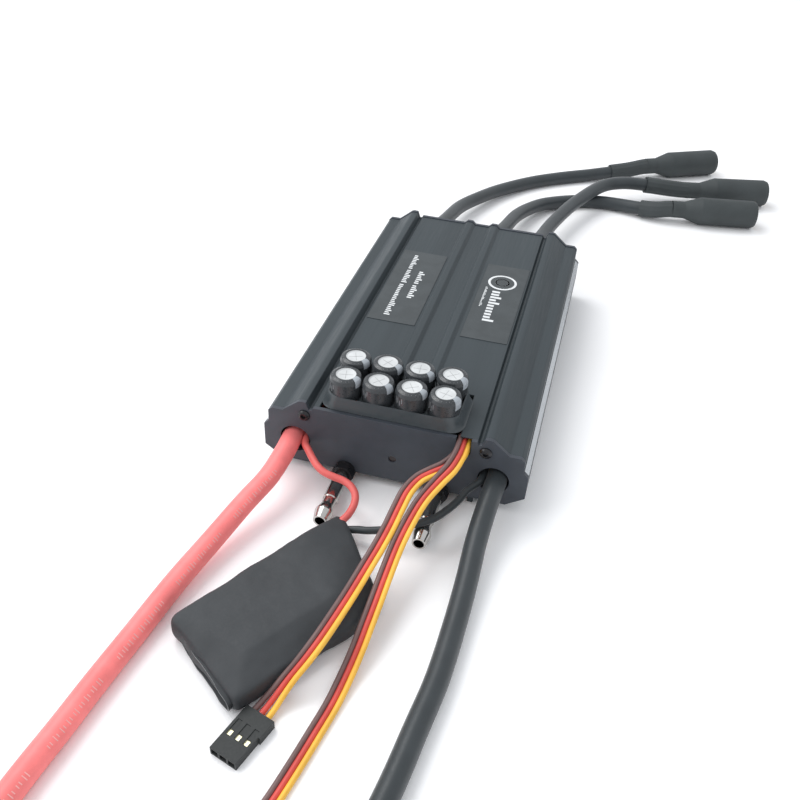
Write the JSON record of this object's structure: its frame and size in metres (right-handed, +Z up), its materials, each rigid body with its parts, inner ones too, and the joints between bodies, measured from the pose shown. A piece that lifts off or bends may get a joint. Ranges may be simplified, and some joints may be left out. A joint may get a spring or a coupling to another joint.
{
  "type": "electronic speed controller",
  "caption": "Water-cooled brushless motor speed controller in a black ribbed housing, with battery, motor and servo leads and a filter pack.",
  "frame": {"origin": "on the surface that the foot rails stand on, under the middle of the housing", "axes": "+X to the right seen from the battery-lead end, +Y from the battery leads towards the motor leads, +Z up"},
  "size_m": [0.1821, 0.481, 0.0358],
  "materials": {
    "anodised": "black anodised, satin",
    "black_steel": "black oxide",
    "steel": "plated",
    "bright_aluminium": "plain",
    "copper": "plain",
    "gold": "plated",
    "label": "printed film",
    "circuit_board": "lacquered",
    "black_plastic": "moulded",
    "white_plastic": "moulded",
    "grey_silicone": "soft",
    "dark_lens": "clear",
    "sleeve_film": "shrunk film",
    "black_silicone": "satin",
    "red_silicone": "satin",
    "servo_wire": "brown, red and orange cores",
    "shrink_sleeve": "shrunk",
    "film_capacitor": "dipped"
  },
  "bodies": {
    "controller": {"upper_shell": "anodised", "lower_shell": "anodised", "front_plate": "anodised", "rear_plate": "anodised", "front_plate_screws": "black_steel", "rear_plate_screws": "black_steel", "left_label": "label", "right_label": "label", "cooling_tube": "copper", "left_nozzle": "steel", "right_nozzle": "steel", "nozzle_nuts": "black_steel", "thermal_pad": "grey_silicone", "mosfets": "black_plastic", "power_board": "circuit_board", "board_screws": "steel", "positive_bus_bar": "copper", "negative_bus_bar": "copper", "phase_tabs": "copper", "board_spacers": "white_plastic", "control_board": "circuit_board", "board_header": "black_plastic", "microcontroller": "black_plastic", "gate_drivers": "black_plastic", "regulator_coil": "black_plastic", "status_led": "dark_lens", "servo_terminal": "black_plastic", "capacitor_board": "circuit_board", "capacitor_1": "bright_aluminium", "capacitor_2": "bright_aluminium", "capacitor_3": "bright_aluminium", "capacitor_4": "bright_aluminium", "capacitor_5": "bright_aluminium", "capacitor_6": "bright_aluminium", "capacitor_7": "bright_aluminium", "capacitor_8": "bright_aluminium", "capacitor_sleeves": "sleeve_film", "capacitor_wrap": "sleeve_film", "positive_lead": "red_silicone", "negative_lead": "black_silicone", "lead_tips": "steel", "motor_lead_1": "black_silicone", "motor_lead_2": "black_silicone", "motor_lead_3": "black_silicone", "motor_connector_1": "gold", "motor_connector_2": "gold", "motor_connector_3": "gold", "motor_boot_1": "shrink_sleeve", "motor_boot_2": "shrink_sleeve", "motor_boot_3": "shrink_sleeve", "thin_positive_wire": "red_silicone", "thin_negative_wire": "black_silicone", "pack_sleeve": "shrink_sleeve", "pack_board": "circuit_board", "pack_capacitors": "film_capacitor", "servo_cable_1": "servo_wire", "servo_cable_2": "servo_wire", "servo_connector_1": "black_plastic", "servo_connector_2": "black_plastic", "servo_contacts": "gold"}
  },
  "joints": []
}
